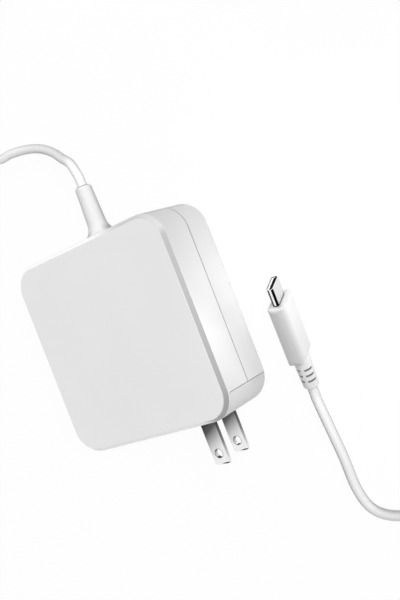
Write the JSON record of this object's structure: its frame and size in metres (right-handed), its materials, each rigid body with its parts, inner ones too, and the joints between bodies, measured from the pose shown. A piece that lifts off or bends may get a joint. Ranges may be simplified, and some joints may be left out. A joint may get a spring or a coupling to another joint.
{
  "type": "laptop power adapter",
  "caption": "White wall-plug power adapter with a corner plug module, folding mains blades and a fixed USB-C lead.",
  "frame": {"origin": "middle of the flat back face", "axes": "+X across the face towards the side that the blades stand near, +Y towards the strain relief and the lead, +Z out of the front face; the adapter lies on its back"},
  "size_m": [0.1938, 0.2371, 0.0285],
  "materials": {
    "white_plastic": "satin, fine spark-eroded grain",
    "cord_jacket": "smooth matte elastomer",
    "plated_metal": "satin nickel plate",
    "gold_contacts": "gold flash",
    "copper": "bright",
    "aluminium": "mill finish",
    "dark_plastic": "moulded",
    "tie_strap": "moulded",
    "circuit_board": "solder mask",
    "ferrite": "ground ferrite",
    "can_sleeve": "shrink sleeve",
    "capacitor_box": "moulded box",
    "capacitor_disc": "dipped resin"
  },
  "bodies": {
    "adapter": {"front_cover": "white_plastic", "rear_housing": "white_plastic", "inlet_block": "dark_plastic", "inlet_pins": "plated_metal", "locking_stud": "plated_metal", "inlet_leads": "copper", "main_board": "circuit_board", "insulating_sheet": "dark_plastic", "transformer_core": "ferrite", "winding_former": "dark_plastic", "transformer_winding": "copper", "input_capacitor": "can_sleeve", "choke_core": "ferrite", "choke_winding": "copper", "bridge_rectifier": "dark_plastic", "mains_fuse": "dark_plastic", "filter_capacitor": "capacitor_box", "safety_capacitor": "capacitor_disc", "primary_heat_sink": "aluminium", "power_switch": "dark_plastic", "secondary_heat_sink": "aluminium", "output_rectifier": "dark_plastic", "output_capacitors": "can_sleeve", "optocoupler": "dark_plastic", "control_board": "circuit_board", "lead_wires": "copper", "strain_relief": "cord_jacket", "cord_lead": "cord_jacket", "cord_coil": "cord_jacket", "cord_tail": "cord_jacket", "coil_tie": "tie_strap", "plug_overmould": "white_plastic", "plug_boot": "cord_jacket", "plug_sleeve": "plated_metal", "plug_insulator": "dark_plastic", "plug_contacts": "gold_contacts"},
    "plug_module": {"module_shell": "white_plastic", "module_base": "dark_plastic", "contact_sockets": "copper", "contact_springs": "copper", "stud_clip": "plated_metal"},
    "blades": {"blade_carrier": "white_plastic", "pivot_pin": "plated_metal", "blade_front": "plated_metal", "blade_rear": "plated_metal"}
  },
  "joints": [
    {"name": "module_slide", "type": "slide", "parent": "adapter", "child": "plug_module", "axis": [0, -1, 0], "range_m": [0, 0.008]},
    {"name": "blade_fold", "type": "hinge", "parent": "plug_module", "child": "blades", "pos_m": [0.0203, -0.03465, 0.01425], "axis": [0, 0, -1], "range_deg": [0, 90]}
  ]
}
